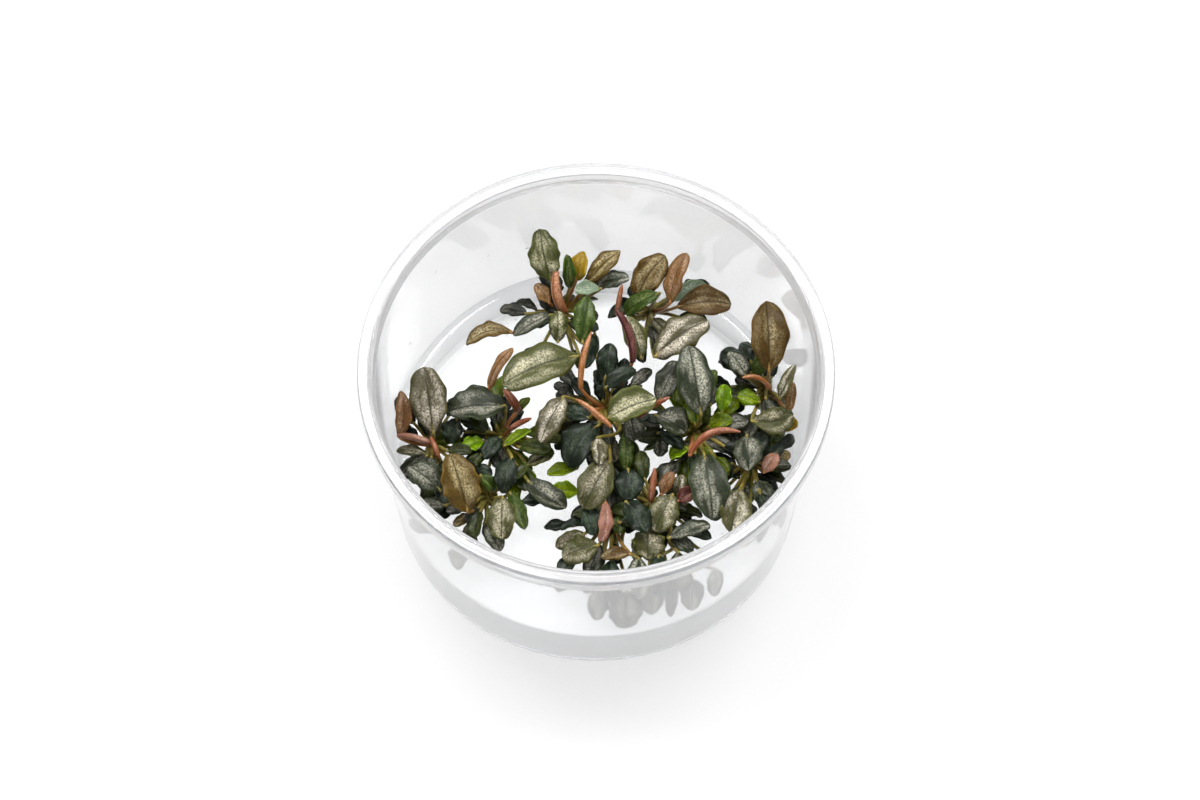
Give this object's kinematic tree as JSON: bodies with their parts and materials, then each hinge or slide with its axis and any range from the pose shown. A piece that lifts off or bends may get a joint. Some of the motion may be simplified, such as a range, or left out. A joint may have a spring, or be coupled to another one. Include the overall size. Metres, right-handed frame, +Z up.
{
  "type": "bucephalandra plants in a culture cup",
  "caption": "Tufts of small speckled bucephalandra leaves standing on clear gel in an open, flanged, clear plastic culture cup.",
  "frame": {"origin": "middle of the cup's flat base, on the surface that it stands on", "axes": "+Z up out of the cup's mouth; -Y is the front, from which the cup is usually looked down into; the cup is round about Z and the plants are not"},
  "size_m": [0.1, 0.1, 0.0534],
  "materials": {
    "clear_cup": "moulded clear polypropylene, slightly milky, smooth",
    "culture_gel": "clear set gel, wet and smooth",
    "stalk": "fleshy olive to orange leaf stalks and young growth, satin",
    "silver_leaf": "satin leaf with a fine silver speckle",
    "olive_leaf": "satin olive leaf, finely speckled",
    "bronze_leaf": "satin brown leaf with a dark midrib",
    "dark_leaf": "satin dark grey-green leaf",
    "green_leaf": "satin green leaf",
    "young_leaf": "pink to terracotta young leaf, satin"
  },
  "bodies": {
    "root": {"cup": "clear_cup", "gel": "culture_gel", "leaf_a1": "silver_leaf", "leaf_c1": "bronze_leaf", "leaf_d1": "olive_leaf", "leaf_f1": "silver_leaf", "leaf_f2": "olive_leaf", "leaf_f3": "young_leaf", "leaf_f4": "young_leaf", "leaf_g1": "dark_leaf", "leaf_h1": "bronze_leaf", "leaf_e1": "silver_leaf", "leaf_d2": "olive_leaf", "leaf_e2": "young_leaf", "leaf_e3": "bronze_leaf", "leaf_e4": "bronze_leaf", "leaf_g2": "dark_leaf", "leaf_f5": "olive_leaf", "leaf_c2": "olive_leaf", "leaf_b1": "dark_leaf", "leaf_i1": "dark_leaf", "leaf_h2": "olive_leaf", "leaf_f6": "dark_leaf", "leaf_g3": "dark_leaf", "leaf_g4": "dark_leaf", "leaf_k1": "olive_leaf", "leaf_j1": "olive_leaf", "leaf_j2": "dark_leaf", "leaf_k2": "olive_leaf", "leaf_k3": "young_leaf", "leaf_g5": "young_leaf", "leaf_e5": "olive_leaf", "leaf_d3": "green_leaf", "leaf_d4": "bronze_leaf", "leaf_d5": "bronze_leaf", "leaf_d6": "dark_leaf", "leaf_a2": "young_leaf", "leaf_a3": "dark_leaf", "leaf_b2": "young_leaf", "leaf_b3": "dark_leaf", "leaf_b4": "dark_leaf", "leaf_d7": "dark_leaf", "leaf_i2": "silver_leaf", "leaf_h3": "dark_leaf", "leaf_j3": "dark_leaf", "leaf_j4": "dark_leaf", "leaf_i3": "dark_leaf", "leaf_b5": "dark_leaf", "leaf_k4": "dark_leaf", "plantlet_a": "stalk", "plantlet_b": "stalk", "plantlet_c": "stalk", "plantlet_d": "stalk", "plantlet_e": "stalk", "plantlet_f": "stalk", "plantlet_g": "stalk", "plantlet_h": "stalk", "plantlet_i": "stalk", "plantlet_j": "stalk", "plantlet_k": "stalk"}
  },
  "joints": []
}
